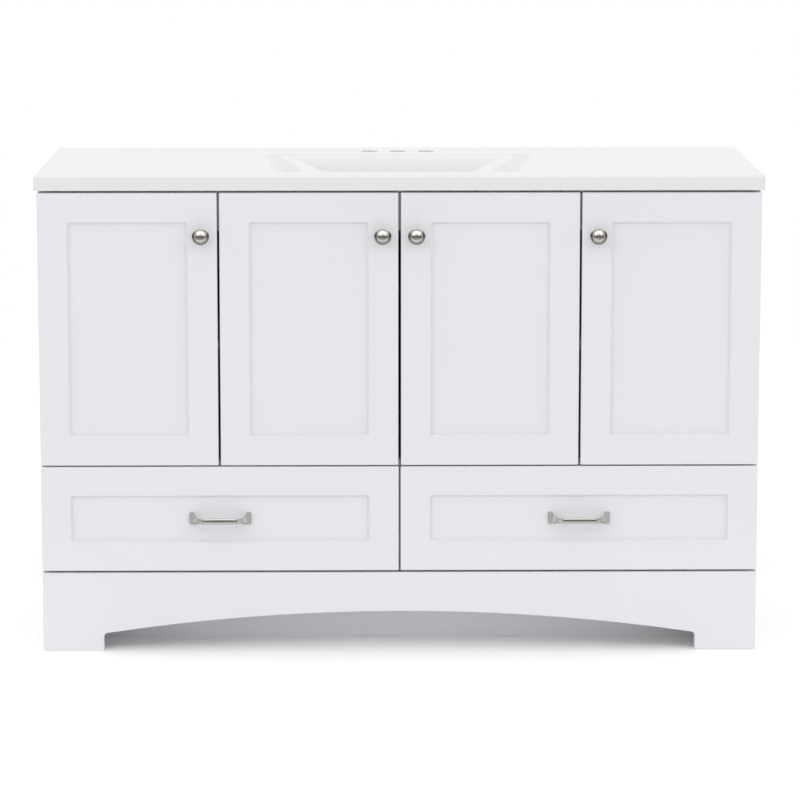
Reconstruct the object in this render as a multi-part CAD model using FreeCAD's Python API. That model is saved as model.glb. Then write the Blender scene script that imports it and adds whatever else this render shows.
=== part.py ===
"""A four-door, two-drawer bathroom vanity cabinet with a one-piece top and basin.

Millimetres, X to the right, the front faces -Y, +Z up. The origin is on the floor, in the middle of
the whole object's width and depth. Each piece of the vanity is one node, written to parts/.
"""
import FreeCAD, Part
import math
import os

V = FreeCAD.Vector

# Driving dimensions
TOP_WIDTH = 1232.0
TOP_DEPTH = 476.0
TOP_THICKNESS = 25.0
TOTAL_HEIGHT = 820.0
SIDE_OVERHANG = 5.0  # the top past each side of the cabinet
FRONT_OVERHANG = 3.0  # the top past the door faces
DOOR_GAP = 3.0
DOOR_CLEARANCE = 2.0  # between a closed door and the carcass
TOP_ROUND = 3.0  # the front and side edges of the top
FRONT_THICKNESS = 18.0  # doors, drawer fronts and base board
BOARD = 15.0  # carcass boards
BACK_BOARD = 5.0
HANDLE_REACH = 26.0  # knobs and pulls ahead of the door faces

BASE_TOP = 137.4
DRAWER_BOTTOM = 140.8
DRAWER_TOP = 321.9
DOOR_BOTTOM = 324.9
DOOR_TOP = 788.4
BOTTOM_PANEL_TOP = 140.0
DECK_TOP = 332.0
SHELF_TOP = 536.0
RAIL_HEIGHT = 70.0
REAR_RAIL_HEIGHT = 90.0

# Five-piece doors and drawer fronts
FRAME_WIDTH = 53.0
PANEL_RECESS = 6.0
PANEL_THICKNESS = 8.0
BEVEL = 3.2
EDGE_ROUND = 2.5

# The basin, in plan, behind the top's front edge
BASIN_WIDTH = 470.0
BASIN_FRONT = 61.0
BASIN_BACK = 349.0
BASIN_DEPTH = 120.0
BASIN_WALL = 12.0
DRAIN_RADIUS = 22.5
FAUCET_SETBACK = 67.0  # hole centres from the top's back edge
FAUCET_SPACING = 50.8
FAUCET_RADIUS = 15.0

# The arch of the base board
ARCH_TOP = 69.0
ARCH_FOOT = 30.5
FOOT_WIDTH = 104.0
FOOT_FILLET = 7.0
TOE_SETBACK = 98.0
BASE_SETBACK = 2.0  # the base board behind the door faces

# Knobs and pulls
KNOB_Z = 719.0
KNOB_INSET = 27.0
PULL_SPACING = 96.0
PULL_LENGTH = 107.0
SCREW_RADIUS = 2.0
SCREW_HOLE_RADIUS = 2.3

# Cup hinges, measured in plan from the hinged edge and the back of a door
HINGE_INSET = 7.5
HINGE_DEPTH = 10.0
CUP_RADIUS = 17.5
CUP_INSET = 20.5
CUP_DEPTH = 13.0
HINGE_FROM_END = 80.0
PIN_RADIUS = 1.0

# Drawer boxes and slides
DRAWER_SIDE = 12.0
SLIDE_THICKNESS = 12.7
SLIDE_LENGTH = 400.0
BOX_BOTTOM = 152.0
BOX_HEIGHT = 120.0

# Places that follow from the sizes above
DEPTH = TOP_DEPTH + HANDLE_REACH - FRONT_OVERHANG
BACK_Y = DEPTH / 2
TOP_FRONT_Y = BACK_Y - TOP_DEPTH
FACE_Y = TOP_FRONT_Y + FRONT_OVERHANG
DOOR_BACK_Y = FACE_Y + FRONT_THICKNESS
CARCASS_Y = DOOR_BACK_Y + DOOR_CLEARANCE
CARCASS_TOP = TOTAL_HEIGHT - TOP_THICKNESS
HALF_WIDTH = TOP_WIDTH / 2 - SIDE_OVERHANG
INNER_X = HALF_WIDTH - BOARD
DOOR_WIDTH = (2 * HALF_WIDTH - 3 * DOOR_GAP) / 4
DRAWER_WIDTH = (2 * HALF_WIDTH - DOOR_GAP) / 2
PARTITION_X = HALF_WIDTH - DOOR_WIDTH - DOOR_GAP  # outer face of a partition
BAY_X = PARTITION_X - BOARD  # inner face of a partition
BACK_PANEL_Y = BACK_Y - 12.0
BOX_BACK_Y = DOOR_BACK_Y + SLIDE_LENGTH - 4.0
DRAWER_MID_Z = (DRAWER_BOTTOM + DRAWER_TOP) / 2
ROUND = 0.8  # the eased edges of carcass boards
TONGUE = 8.0  # how far a frame's groove reaches past the opening
THROUGH = 1.0  # how far a cutter stands out of what it cuts


def node(name, *solids):
    """Write the solids of one piece, or of one group of like pieces, to its own file."""
    shape = solids[0] if len(solids) == 1 else Part.makeCompound(list(solids))
    shape.exportStep("parts/" + name + ".step")
    print(name, len(shape.Solids), "solid(s)", round(shape.Volume / 1000.0, 1), "cm3")


def box(x0, x1, y0, y1, z0, z1):
    """A block between two corners."""
    return Part.makeBox(x1 - x0, y1 - y0, z1 - z0, V(x0, y0, z0))


def eased(solid, radius=ROUND):
    """A board with all its edges rounded a little."""
    return solid.makeFillet(radius, solid.Edges)


def rod(radius, start, direction, length):
    """A round bar."""
    return Part.makeCylinder(radius, length, start, direction)


def mirrored(solid):
    """The same piece on the other side of the vanity."""
    return solid.mirror(V(0, 0, 0), V(1, 0, 0))


def turned_profile(points, centre):
    """A turned piece: (distance forward, radius) pairs, revolved about an axis along Y."""
    corners = [V(radius, -along, 0) for along, radius in points]
    wire = Part.makePolygon(corners + [corners[0]])
    solid = Part.Face(wire).revolve(V(0, 0, 0), V(0, 1, 0), 360)
    solid.translate(centre)
    return solid


def prism(points, z0, z1):
    """A flat outline in plan, given as X and Y pairs, pulled up from z0 to z1."""
    corners = [V(x, y, z0) for x, y in points]
    return Part.Face(Part.makePolygon(corners + [corners[0]])).extrude(V(0, 0, z1 - z0))


# ---------------------------------------------------------------- carcass


def side_panel():
    """The right side of the cabinet, from the floor to the top."""
    return eased(box(INNER_X, HALF_WIDTH, CARCASS_Y, BACK_Y - 2.0, 0, CARCASS_TOP))


def partition():
    """The upright board between the right and the middle bay."""
    return eased(box(BAY_X, PARTITION_X, CARCASS_Y, BACK_PANEL_Y, DECK_TOP, CARCASS_TOP))


def level_board(top):
    """A level board across the whole cabinet."""
    return eased(box(-INNER_X, INNER_X, CARCASS_Y, BACK_PANEL_Y, top - BOARD, top))


def top_rails(y0, height):
    """Three lengths of rail under the top, one in each bay."""
    bays = ((-INNER_X, -PARTITION_X), (-BAY_X, BAY_X), (PARTITION_X, INNER_X))
    return [eased(box(a, b, y0, y0 + BOARD, CARCASS_TOP - height, CARCASS_TOP)) for a, b in bays]


def back_panel(x0, x1, z0, z1):
    """A thin board that closes the back of one bay."""
    return box(x0, x1, BACK_PANEL_Y, BACK_PANEL_Y + BACK_BOARD, z0, z1)


def shelf():
    """The shelf of the right bay, which lies on four pins."""
    play = 2.0
    return eased(box(PARTITION_X + play, INNER_X - play, CARCASS_Y + 4.0, BACK_PANEL_Y - 3.0,
                     SHELF_TOP - BOARD, SHELF_TOP))


def shelf_pins():
    """Four pins under each shelf: a peg in the upright board and a flat rest beside it."""
    pins = []
    for x, inward in ((PARTITION_X, 1), (INNER_X, -1)):
        for y in (CARCASS_Y + 60.0, BACK_PANEL_Y - 60.0):
            pin = rod(2.5, V(x, y, SHELF_TOP - BOARD - 2.5), V(inward, 0, 0), 9.0)
            collar = rod(4.0, V(x, y, SHELF_TOP - BOARD - 2.5), V(inward, 0, 0), 1.5)
            pins.append(pin.fuse(collar).removeSplitter())
    return pins + [mirrored(pin) for pin in pins]


def base_board():
    """The front base: two feet and a shallow arch between them."""
    foot_x = HALF_WIDTH - FOOT_WIDTH
    board = box(-HALF_WIDTH, HALF_WIDTH, FACE_Y + BASE_SETBACK, CARCASS_Y, 0, BASE_TOP)
    rise = ARCH_TOP - ARCH_FOOT
    arc_radius = (foot_x**2 + rise**2) / (2 * rise)
    y0, y1 = FACE_Y - THROUGH, CARCASS_Y + THROUGH
    disc = rod(arc_radius, V(0, y0, ARCH_TOP - arc_radius), V(0, 1, 0), y1 - y0)
    window = box(-foot_x, foot_x, y0, y1, -THROUGH, ARCH_TOP + THROUGH)
    board = board.cut(disc.common(window))
    inner = [e for e in board.Edges if foot_corner(e, foot_x)]
    board = board.makeFillet(FOOT_FILLET, inner)
    rim = [e for e in board.Edges if front_rim(e)]
    return board.makeFillet(1.5, rim)


def foot_corner(edge, foot_x):
    """Is this the corner where a foot meets the arch?"""
    middle = edge.CenterOfMass
    return abs(abs(middle.x) - foot_x) < 0.01 and abs(middle.z - ARCH_FOOT) < 0.01


def front_rim(edge):
    """Does this edge lie on the front face of the base board?"""
    face_y = FACE_Y + BASE_SETBACK
    return all(abs(v.Point.y - face_y) < 0.01 for v in edge.Vertexes) and edge.Length > 1.0


def glue_blocks():
    """Four blocks that join the base board to the bottom panel, two of them at the sides."""
    size, length = 20.0, 60.0
    top = BOTTOM_PANEL_TOP - BOARD
    blocks = []
    for x in (150.0, INNER_X - length):
        block = box(x, x + length, CARCASS_Y, CARCASS_Y + size, top - size, top)
        blocks += [eased(block), eased(mirrored(block))]
    return blocks


def corner_brackets():
    """Four blocks in the upper corners of the cabinet, which the top is fixed down to."""
    size, height = 45.0, 18.0
    blocks = []
    for y, back in ((CARCASS_Y + BOARD, 1), (BACK_PANEL_Y - BOARD, -1)):
        points = [(INNER_X, y), (INNER_X - size, y), (INNER_X, y + back * size)]
        block = prism(points, CARCASS_TOP - height, CARCASS_TOP)
        blocks += [block, mirrored(block)]
    return blocks


def door_bumpers():
    """Soft dots on the carcass that the free edge of each door closes against."""
    radius, inset, air = 3.0, 12.0, 0.4
    dots = []
    for x in (-DOOR_WIDTH - inset, -inset, inset, DOOR_WIDTH + inset):
        for z in (DECK_TOP - 3.5, CARCASS_TOP - 20.0):
            dots.append(rod(radius, V(x, CARCASS_Y, z), V(0, -1, 0), DOOR_CLEARANCE - air))
    return dots


# ---------------------------------------------------------------- top and basin


def rounded_outline(width, y0, y1, radius, z):
    """A level wire: a rectangle with round corners, from y0 to y1 and centred on X."""
    half = width / 2
    centres = ((half - radius, y1 - radius, 0), (-half + radius, y1 - radius, 90),
               (-half + radius, y0 + radius, 180), (half - radius, y0 + radius, 270))

    def corner_point(index, turned):
        x, y, start = centres[index % 4]
        angle = math.radians(start + turned)
        return V(x + radius * math.cos(angle), y + radius * math.sin(angle), z)

    edges = []
    for i in range(4):
        at = [corner_point(i, turned) for turned in (0, 45, 90)]
        edges.append(Part.Arc(*at).toShape())
        edges.append(Part.makeLine(at[2], corner_point(i + 1, 0)))
    return Part.Wire(edges)


def bowl(grow):
    """The hollow of the basin as a solid, or its outer body where grow is the wall's thickness."""
    front = TOP_FRONT_Y + BASIN_FRONT
    back = TOP_FRONT_Y + BASIN_BACK
    # Share of the depth, how far the wall has come in at the sides, then at the front and back, and
    # the corner radius
    steps = ((0.0, 0.0, 0.0, 42.0), (0.25, 41.0, 12.0, 46.0), (0.55, 82.0, 28.0, 50.0),
             (0.85, 125.0, 50.0, 52.0), (1.0, 165.0, 84.0, 50.0))
    wires = []
    for share, side_in, end_in, radius in steps:
        z = TOTAL_HEIGHT - share * BASIN_DEPTH - (grow if share == 1.0 else 0.0)
        wires.append(rounded_outline(BASIN_WIDTH - 2 * side_in + 2 * grow, front + end_in - grow,
                                     back - end_in + grow, radius + grow, z))
    return Part.makeLoft(wires, True, True)


def countertop():
    """The one-piece top: slab, basin, drain hole and three faucet holes."""
    slab = box(-TOP_WIDTH / 2, TOP_WIDTH / 2, TOP_FRONT_Y, BACK_Y, CARCASS_TOP, TOTAL_HEIGHT)
    shown = [e for e in slab.Edges if e.BoundBox.YMax < BACK_Y - 1.0 or e.BoundBox.YLength > 100.0]
    slab = slab.makeFillet(TOP_ROUND, shown)
    shell = slab.fuse(bowl(BASIN_WALL)).cut(bowl(0.0))
    basin_y = TOP_FRONT_Y + (BASIN_FRONT + BASIN_BACK) / 2
    shell = shell.cut(rod(DRAIN_RADIUS, V(0, basin_y, TOTAL_HEIGHT - BASIN_DEPTH - 40.0), V(0, 0, 1), 60.0))
    for i in (-1, 0, 1):
        place = V(i * FAUCET_SPACING, BACK_Y - FAUCET_SETBACK, CARCASS_TOP - 10.0)
        shell = shell.cut(rod(FAUCET_RADIUS, place, V(0, 0, 1), TOP_THICKNESS + 20.0))
    return shell


# ---------------------------------------------------------------- doors and drawer fronts


def panel_hole(x0, x1, z0, z1):
    """The cutter for the opening in a frame, which widens to the front with a bevel."""
    straight = box(x0 + FRAME_WIDTH, x1 - FRAME_WIDTH, FACE_Y - THROUGH, DOOR_BACK_Y + THROUGH,
                   z0 + FRAME_WIDTH, z1 - FRAME_WIDTH)
    wires = []
    for y, out in ((FACE_Y - THROUGH, BEVEL * (1 + THROUGH / PANEL_RECESS)), (FACE_Y + PANEL_RECESS, 0.0)):
        a, b = x0 + FRAME_WIDTH - out, x1 - FRAME_WIDTH + out
        c, d = z0 + FRAME_WIDTH - out, z1 - FRAME_WIDTH + out
        wires.append(Part.makePolygon([V(a, y, c), V(b, y, c), V(b, y, d), V(a, y, d), V(a, y, c)]))
    return straight.fuse(Part.makeLoft(wires, True, True))


def groove(x0, x1, z0, z1):
    """The slot all round a frame that holds the edge of the panel."""
    inset = FRAME_WIDTH - TONGUE
    y0 = FACE_Y + PANEL_RECESS
    return box(x0 + inset, x1 - inset, y0, y0 + PANEL_THICKNESS, z0 + inset, z1 - inset)


def frame(x0, x1, z0, z1):
    """Two stiles and two rails, as separate solids."""
    cutter = panel_hole(x0, x1, z0, z1).fuse(groove(x0, x1, z0, z1))
    whole = box(x0, x1, FACE_Y, DOOR_BACK_Y, z0, z1)
    whole = whole.makeFillet(EDGE_ROUND, whole.Edges).cut(cutter)
    left = box(x0, x0 + FRAME_WIDTH, FACE_Y, DOOR_BACK_Y, z0, z1)
    right = box(x1 - FRAME_WIDTH, x1, FACE_Y, DOOR_BACK_Y, z0, z1)
    low = box(x0 + FRAME_WIDTH, x1 - FRAME_WIDTH, FACE_Y, DOOR_BACK_Y, z0, z0 + FRAME_WIDTH)
    high = box(x0 + FRAME_WIDTH, x1 - FRAME_WIDTH, FACE_Y, DOOR_BACK_Y, z1 - FRAME_WIDTH, z1)
    return [whole.common(piece) for piece in (left, right, low, high)]


def panel(x0, x1, z0, z1):
    """The flat panel that sits in the groove of a frame."""
    slack, play = 0.5, 0.1
    inset = FRAME_WIDTH - TONGUE + slack
    y0 = FACE_Y + PANEL_RECESS
    return box(x0 + inset, x1 - inset, y0 + play, y0 + PANEL_THICKNESS - play, z0 + inset, z1 - inset)


def knob(x):
    """A mushroom knob: a foot, a neck, a wide flange and a raised dome."""
    dome_start, dome_radius = 19.4, 11.0
    rise = HANDLE_REACH - dome_start
    points = [(0.0, 0.0), (0.0, 8.0), (2.0, 8.0), (5.0, 6.0), (10.0, 5.5), (14.0, 8.0), (16.0, 14.0),
              (17.0, 15.0), (18.6, 15.0), (dome_start, 14.2), (dome_start, dome_radius)]
    for turned in (15, 30, 45, 60, 75):
        angle = math.radians(turned)
        points.append((dome_start + rise * math.sin(angle), dome_radius * math.cos(angle)))
    points.append((HANDLE_REACH, 0.0))
    return turned_profile(points, V(x, FACE_Y, KNOB_Z))


def screw(x, z, head_y, length):
    """A pan-head machine screw that points forward, with its head against head_y."""
    head = rod(4.0, V(x, head_y, z), V(0, 1, 0), 1.6)
    overlap = 0.1
    shank = rod(SCREW_RADIUS, V(x, head_y + overlap, z), V(0, -1, 0), length + overlap)
    return head.fuse(shank).removeSplitter()


def screw_hole(x, z):
    """The cutter for a handle's screw through a front."""
    return rod(SCREW_HOLE_RADIUS, V(x, FACE_Y - THROUGH, z), V(0, 1, 0), FRONT_THICKNESS + 2 * THROUGH)


def knob_and_screw(x):
    """A knob and the screw that holds it through the door."""
    fixing = screw(x, KNOB_Z, DOOR_BACK_Y, FRONT_THICKNESS + 8.0)
    bored = knob(x).cut(rod(SCREW_RADIUS, V(x, FACE_Y + THROUGH, KNOB_Z), V(0, -1, 0), 9.0))
    return [bored, fixing]


def pull(x):
    """A bow pull on two flared feet, with a straight grip between two bead rings."""
    stand = FACE_Y + PANEL_RECESS
    reach = HANDLE_REACH + PANEL_RECESS
    grip_radius = 4.5
    grip_y = stand - reach + grip_radius + 1.5
    bend = 15.0
    short = bend * (1 - math.sqrt(0.5))  # the middle of a bend, in from its corner
    half = PULL_SPACING / 2
    z = DRAWER_MID_Z
    start = [V(x - half, stand, z), V(x - half, grip_y + bend, z)]
    mid_a = V(x - half + short, grip_y + short, z)
    end_a = V(x - half + bend, grip_y, z)
    end_b = V(x + half - bend, grip_y, z)
    mid_b = V(x + half - short, grip_y + short, z)
    last = [V(x + half, grip_y + bend, z), V(x + half, stand, z)]
    path = Part.Wire([Part.makeLine(*start), Part.Arc(start[1], mid_a, end_a).toShape(),
                      Part.makeLine(end_a, end_b), Part.Arc(end_b, mid_b, last[0]).toShape(),
                      Part.makeLine(*last)])
    section = Part.Wire(Part.makeCircle(grip_radius, start[0], V(0, -1, 0)))
    bar = path.makePipeShell([section], True, False)
    pieces = []
    for side in (-1, 1):
        foot = Part.makeCone(PULL_LENGTH / 2 - half, 4.8, 9.0, V(x + side * half, stand, z), V(0, -1, 0))
        pieces.append(foot)
        pieces.append(rod(grip_radius + 1.5, V(x + side * 29.0 - 1.5, grip_y, z), V(1, 0, 0), 3.0))
    bar = bar.multiFuse(pieces)
    for side in (-1, 1):
        bar = bar.cut(rod(SCREW_RADIUS, V(x + side * half, stand + THROUGH, z), V(0, -1, 0), 11.0))
    return bar


def pull_and_screws(x):
    """A pull and its two screws, whose heads are on the inside of the drawer box."""
    solids = [pull(x)]
    head_y = DOOR_BACK_Y + DRAWER_SIDE
    for side in (-1, 1):
        solids.append(screw(x + side * PULL_SPACING / 2, DRAWER_MID_Z, head_y, head_y - FACE_Y + 3.0))
    return solids


# ---------------------------------------------------------------- cup hinges


def hinge_heights():
    """The two heights of the hinges on every door."""
    return (DOOR_BOTTOM + HINGE_FROM_END, DOOR_TOP - HINGE_FROM_END)


def hinge_cup(z):
    """A hinge cup, its flange and its pin, for a door whose hinged edge is at X 0 on the left."""
    wall = 0.7
    rim_y = DOOR_BACK_Y + 0.9
    bottom_y = DOOR_BACK_Y - CUP_DEPTH
    pin_y = DOOR_BACK_Y - HINGE_DEPTH
    cup = rod(CUP_RADIUS - 0.1, V(CUP_INSET, bottom_y + 0.1, z), V(0, 1, 0), CUP_DEPTH - 0.1)
    flange = box(CUP_INSET - 12.0, CUP_INSET + 20.0, DOOR_BACK_Y, rim_y, z - 30.0, z + 30.0)
    flange = flange.makeFillet(8.0, [e for e in flange.Edges if e.BoundBox.YLength > 0.5])
    hollow = rod(CUP_RADIUS - wall, V(CUP_INSET, bottom_y + wall, z), V(0, 1, 0), CUP_DEPTH + 5.0)
    body = cup.fuse(flange).cut(hollow)
    for side in (-1, 1):
        ear = box(HINGE_INSET - 2.0, HINGE_INSET + 2.5, bottom_y + wall - 0.2, pin_y + 2.0,
                  z + side * 7.6 - 1.0, z + side * 7.6 + 1.0)
        body = body.fuse(ear)
    pin_hole = rod(PIN_RADIUS, V(HINGE_INSET, pin_y, z - 8.6), V(0, 0, 1), 17.2)
    pin = rod(PIN_RADIUS, V(HINGE_INSET, pin_y, z - 8.6), V(0, 0, 1), 17.2)
    return [body.cut(pin_hole).removeSplitter(), pin]


def cup_recess(z):
    """The cutter for the bore of a hinge cup in the back of a door."""
    return rod(CUP_RADIUS, V(CUP_INSET, DOOR_BACK_Y - CUP_DEPTH, z), V(0, 1, 0), CUP_DEPTH + 5.0)


def hinge_arm(z):
    """The arm of a hinge: an eye on the pin, a neck inside the cup and a flat bar in the cabinet."""
    pin = V(HINGE_INSET, DOOR_BACK_Y - HINGE_DEPTH, z)
    neck_x = HINGE_INSET + 13.5
    half = 6.0
    tail_y = CARCASS_Y + 62.0
    thick = 1.1
    eye = rod(2.0, V(pin.x, pin.y, z - half), V(0, 0, 1), 2 * half)
    neck = prism([(pin.x, pin.y - thick), (neck_x + thick, pin.y - 0.6 - thick), (neck_x + thick, tail_y),
                  (neck_x - thick, tail_y), (neck_x - thick, pin.y - 0.6 + thick), (pin.x, pin.y + thick)],
                 z - half, z + half)
    saddle = box(BOARD + 4.0, neck_x + thick + 1.0, CARCASS_Y + 18.0, tail_y, z - 8.0, z + 8.0)
    arm = eye.fuse(neck).fuse(saddle)
    arm = arm.cut(rod(PIN_RADIUS + 0.05, V(pin.x, pin.y, z - half - 1.0), V(0, 0, 1), 2 * half + 2.0))
    return arm.removeSplitter()


def hinge_plate(z):
    """The plate that holds a hinge arm, screwed to the upright board."""
    wing_y = CARCASS_Y + 37.0
    wing = box(BOARD, BOARD + 2.0, wing_y - 6.0, wing_y + 6.0, z - 24.0, z + 24.0)
    ridge = box(BOARD, BOARD + 4.0, CARCASS_Y + 16.0, CARCASS_Y + 60.0, z - 8.5, z + 8.5)
    plate = wing.fuse(ridge).removeSplitter()
    heads = [rod(3.6, V(BOARD + 1.9, wing_y, z + side * 16.0), V(1, 0, 0), 1.1) for side in (-1, 1)]
    return plate.fuse(heads[0]).fuse(heads[1]).removeSplitter()


def at_hinge(solid, edge_x, side):
    """Move a hinge piece made for a left edge at X 0 to a real hinged edge. Side 1 is hinged left."""
    solid = solid.copy()
    if side < 0:
        solid = mirrored(solid)
    solid.translate(V(edge_x, 0, 0))
    return solid


# ---------------------------------------------------------------- drawers


def slide_profile(web_x, web, lip_x, half_height, y0, y1, z):
    """One member of a drawer slide: a web and two lips, along Y."""
    low, high = min(web_x, lip_x), max(web_x, lip_x)
    member = box(low, high, y0, y1, z - half_height, z + half_height)
    inside = 1.2
    hollow_low = low + web if web_x < lip_x else low - THROUGH
    hollow_high = high + THROUGH if web_x < lip_x else high - web
    half_hollow = half_height - inside
    hollow = box(hollow_low, hollow_high, y0 - THROUGH, y1 + THROUGH, z - half_hollow, z + half_hollow)
    return member.cut(hollow)


def slides(wall_x, side):
    """Outer, middle and inner member of the slide on one wall. Side 1 opens to the right."""
    z = BOX_BOTTOM + BOX_HEIGHT / 2
    y0 = CARCASS_Y + 1.0
    y1 = y0 + SLIDE_LENGTH
    members = ((0.0, 9.0, 22.5), (2.4, 10.6, 18.5), (SLIDE_THICKNESS, 5.0, 14.5))
    made = []
    for web_x, lip_x, half_height in members:
        made.append(slide_profile(wall_x + side * web_x, 1.2, wall_x + side * lip_x, half_height, y0, y1, z))
    return made


def drawer_sides(x0, x1):
    """The two long boards of a drawer box, grooved for the bottom."""
    boards = []
    for a in (x0, x1 - DRAWER_SIDE):
        board = box(a, a + DRAWER_SIDE, DOOR_BACK_Y, BOX_BACK_Y, BOX_BOTTOM, BOX_BOTTOM + BOX_HEIGHT)
        boards.append(eased(board, 0.6).cut(bottom_slot(x0, x1)))
    return boards


def bottom_slot(x0, x1):
    """The groove that the bottom of a drawer box slides into."""
    return box(x0 + 6.0, x1 - 6.0, DOOR_BACK_Y + 6.0, BOX_BACK_Y - 6.0, BOX_BOTTOM + 9.9, BOX_BOTTOM + 14.1)


def drawer_ends(x0, x1):
    """The front and back boards of a drawer box, between its sides."""
    boards = []
    for y in (DOOR_BACK_Y, BOX_BACK_Y - DRAWER_SIDE):
        board = box(x0 + DRAWER_SIDE, x1 - DRAWER_SIDE, y, y + DRAWER_SIDE,
                    BOX_BOTTOM, BOX_BOTTOM + BOX_HEIGHT)
        boards.append(board.cut(bottom_slot(x0, x1)))
    return boards


def drawer_bottom(x0, x1):
    """The thin board in the grooves of a drawer box."""
    return box(x0 + 6.5, x1 - 6.5, DOOR_BACK_Y + 6.5, BOX_BACK_Y - 6.5, BOX_BOTTOM + 10.0, BOX_BOTTOM + 14.0)


# ---------------------------------------------------------------- the whole vanity


def make_carcass():
    """Every board and fixing that stands still."""
    right = side_panel()
    node("side_panel_right", right)
    node("side_panel_left", mirrored(right))
    upright = partition()
    node("partition_right", upright)
    node("partition_left", mirrored(upright))
    node("middle_deck", level_board(DECK_TOP))
    node("bottom_panel", level_board(BOTTOM_PANEL_TOP))
    node("drawer_divider", eased(box(-BOARD / 2, BOARD / 2, CARCASS_Y, BACK_PANEL_Y,
                                     BOTTOM_PANEL_TOP, DECK_TOP - BOARD)))
    node("front_top_rail", *top_rails(CARCASS_Y, RAIL_HEIGHT))
    node("rear_top_rail", *top_rails(BACK_PANEL_Y - BOARD, REAR_RAIL_HEIGHT))
    upper_back = back_panel(BAY_X, INNER_X, DECK_TOP - BOARD, CARCASS_TOP)
    node("back_panel_right", upper_back)
    node("back_panel_left", mirrored(upper_back))
    node("back_panel_middle", back_panel(-BAY_X, BAY_X, DECK_TOP - BOARD, CARCASS_TOP))
    node("back_panel_drawers", back_panel(-INNER_X, INNER_X, BOTTOM_PANEL_TOP - BOARD, DECK_TOP - BOARD))
    right_shelf = shelf()
    node("shelf_right", right_shelf)
    node("shelf_left", mirrored(right_shelf))
    node("shelf_pins", *shelf_pins())
    node("base_board", base_board())
    toe_y = TOP_FRONT_Y + TOE_SETBACK
    node("toe_kick_board", box(-INNER_X, INNER_X, toe_y, toe_y + BOARD, 0, BOTTOM_PANEL_TOP - BOARD))
    node("base_glue_blocks", *glue_blocks())
    node("corner_brackets", *corner_brackets())
    node("door_bumpers", *door_bumpers())
    node("countertop_basin", countertop())


def make_doors():
    """Four doors. The two on the left are hinged on their left, and the other two on their right."""
    arms, plates = [], []
    for i in range(4):
        x0 = -HALF_WIDTH + i * (DOOR_WIDTH + DOOR_GAP)
        x1 = x0 + DOOR_WIDTH
        side = 1 if i < 2 else -1
        hinged, free = (x0, x1) if side > 0 else (x1, x0)
        knob_x = free - side * KNOB_INSET
        cutters = [at_hinge(cup_recess(z), hinged, side) for z in hinge_heights()]
        cutters.append(screw_hole(knob_x, KNOB_Z))
        name = "door_%d_" % (i + 1)
        node(name + "frame", *[piece.cut(cutters) for piece in frame(x0, x1, DOOR_BOTTOM, DOOR_TOP)])
        node(name + "panel", panel(x0, x1, DOOR_BOTTOM, DOOR_TOP))
        node(name + "knob", *knob_and_screw(knob_x))
        cups = [at_hinge(s, hinged, side) for z in hinge_heights() for s in hinge_cup(z)]
        node(name + "hinge_cups", *cups)
        arms += [at_hinge(hinge_arm(z), hinged, side) for z in hinge_heights()]
        plates += [at_hinge(hinge_plate(z), hinged, side) for z in hinge_heights()]
    node("hinge_arms", *arms)
    node("hinge_plates", *plates)


def make_drawers():
    """Two drawers on full-extension slides."""
    outer_members = []
    for i in range(2):
        x0 = -HALF_WIDTH + i * (DRAWER_WIDTH + DOOR_GAP)
        x1 = x0 + DRAWER_WIDTH
        middle = (x0 + x1) / 2
        wall0, wall1 = (-INNER_X, -BOARD / 2) if i == 0 else (BOARD / 2, INNER_X)
        box0, box1 = wall0 + SLIDE_THICKNESS, wall1 - SLIDE_THICKNESS
        holes = [screw_hole(middle + side * PULL_SPACING / 2, DRAWER_MID_Z) for side in (-1, 1)]
        deep_holes = [rod(SCREW_HOLE_RADIUS, V(middle + side * PULL_SPACING / 2, FACE_Y, DRAWER_MID_Z),
                          V(0, 1, 0), 40.0) for side in (-1, 1)]
        name = "drawer_%d_" % (i + 1)
        node(name + "front_frame", *frame(x0, x1, DRAWER_BOTTOM, DRAWER_TOP))
        node(name + "front_panel", panel(x0, x1, DRAWER_BOTTOM, DRAWER_TOP).cut(holes))
        node(name + "box_sides", *drawer_sides(box0, box1))
        node(name + "box_ends", *[b.cut(deep_holes) for b in drawer_ends(box0, box1)])
        node(name + "box_bottom", drawer_bottom(box0, box1))
        node(name + "pull", *pull_and_screws(middle))
        low, high = slides(wall0, 1), slides(wall1, -1)
        outer_members += [low[0], high[0]]
        node(name + "slide_middle", low[1], high[1])
        node(name + "slide_inner", low[2], high[2])
    node("slide_outer_rails", *outer_members)


def main():
    os.makedirs("parts", exist_ok=True)
    make_carcass()
    make_doors()
    make_drawers()
    print("hinge axes at Y", round(DOOR_BACK_Y - HINGE_DEPTH, 3))
    for i in range(4):
        x0 = -HALF_WIDTH + i * (DOOR_WIDTH + DOOR_GAP)
        x = x0 + HINGE_INSET if i < 2 else x0 + DOOR_WIDTH - HINGE_INSET
        print("door", i + 1, "hinge axis at X", round(x, 3))


main()
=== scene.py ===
# %% [markdown]
# # A bathroom vanity, from its frame to its finish
#
# The measured model of the vanity is loaded first. It holds every board, hinge and slide at its real size, in
# metres, with the front facing -Y and the floor at Z 0. Boards whose shape is already right keep their meshes
# and get a finish. The pieces that the eye rests on, such as the doors, the top and the handles, are made
# again with softer edges and finer joints, in the same places.

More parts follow.
